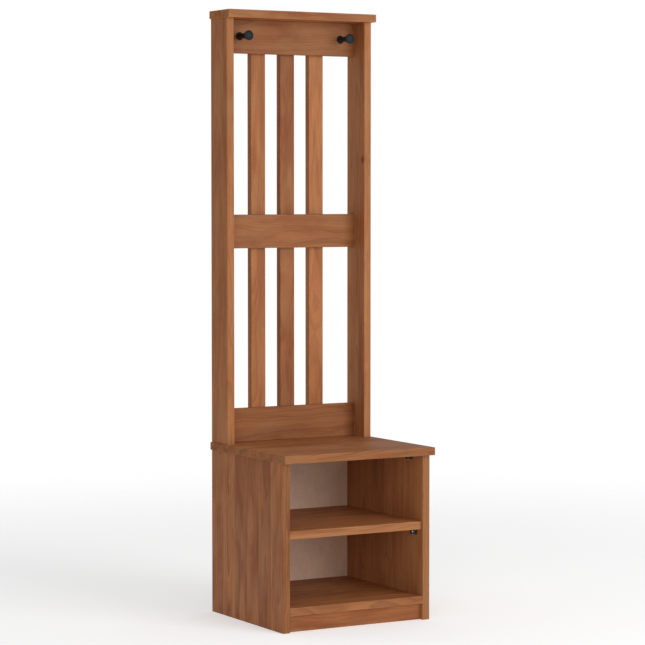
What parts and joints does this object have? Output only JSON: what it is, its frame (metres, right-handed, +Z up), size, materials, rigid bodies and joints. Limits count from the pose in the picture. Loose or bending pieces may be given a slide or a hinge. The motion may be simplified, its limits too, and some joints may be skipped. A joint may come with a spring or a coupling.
{
  "type": "hall tree",
  "caption": "Wooden hall tree: an open shelved bench with a slatted back frame, a cap board and turned knobs to hang coats, hats and bags on.",
  "frame": {"origin": "on the floor, under the middle of the overall box", "axes": "+X to the right seen from the front, +Y to the back, +Z up; the open front faces -Y"},
  "size_m": [0.495, 0.46, 1.765],
  "materials": {
    "stained_pine": "solid pine, honey-brown stain under a thin satin varnish",
    "hardboard": "smooth grey-brown hardboard",
    "black_knob": "near-black, satin gloss",
    "black_plastic": "black moulded plastic, matt",
    "zinc_steel": "zinc-plated steel",
    "nail_steel": "plain steel",
    "brass": "plain brass",
    "beech": "bare beech, fluted"
  },
  "bodies": {
    "root": {"back_panel": "hardboard", "back_panel_nails": "nail_steel", "bottom_rail": "stained_pine", "bottom_rail_block_screws": "zinc_steel", "bottom_rail_corner_blocks": "black_plastic", "bottom_shelf": "stained_pine", "bottom_shelf_block_screws": "zinc_steel", "bottom_shelf_corner_blocks": "black_plastic", "bottom_shelf_dowels": "beech", "cap_block_screws": "zinc_steel", "cap_board": "stained_pine", "cap_corner_blocks": "black_plastic", "cap_dowels": "beech", "frame_foot_block_screws": "zinc_steel", "frame_foot_corner_blocks": "black_plastic", "front_plinth": "stained_pine", "knob_bolts": "zinc_steel", "knob_inserts": "brass", "knob_left": "black_knob", "knob_right": "black_knob", "knob_washers": "zinc_steel", "middle_rail": "stained_pine", "middle_rail_block_screws": "zinc_steel", "middle_rail_corner_blocks": "black_plastic", "middle_shelf": "stained_pine", "middle_shelf_block_screws": "zinc_steel", "middle_shelf_corner_blocks": "black_plastic", "plinth_block_screws": "zinc_steel", "plinth_corner_blocks": "black_plastic", "plinth_dowels": "beech", "post_foot_dowels": "beech", "post_left": "stained_pine", "post_right": "stained_pine", "post_screws": "zinc_steel", "rail_dowels": "beech", "seat_block_screws": "zinc_steel", "seat_board": "stained_pine", "seat_corner_blocks": "black_plastic", "seat_dowels": "beech", "side_panel_left": "stained_pine", "side_panel_right": "stained_pine", "slat_centre": "stained_pine", "slat_left": "stained_pine", "slat_right": "stained_pine", "slat_screws": "zinc_steel", "top_rail": "stained_pine", "top_rail_block_screws": "zinc_steel", "top_rail_corner_blocks": "black_plastic"}
  },
  "joints": []
}
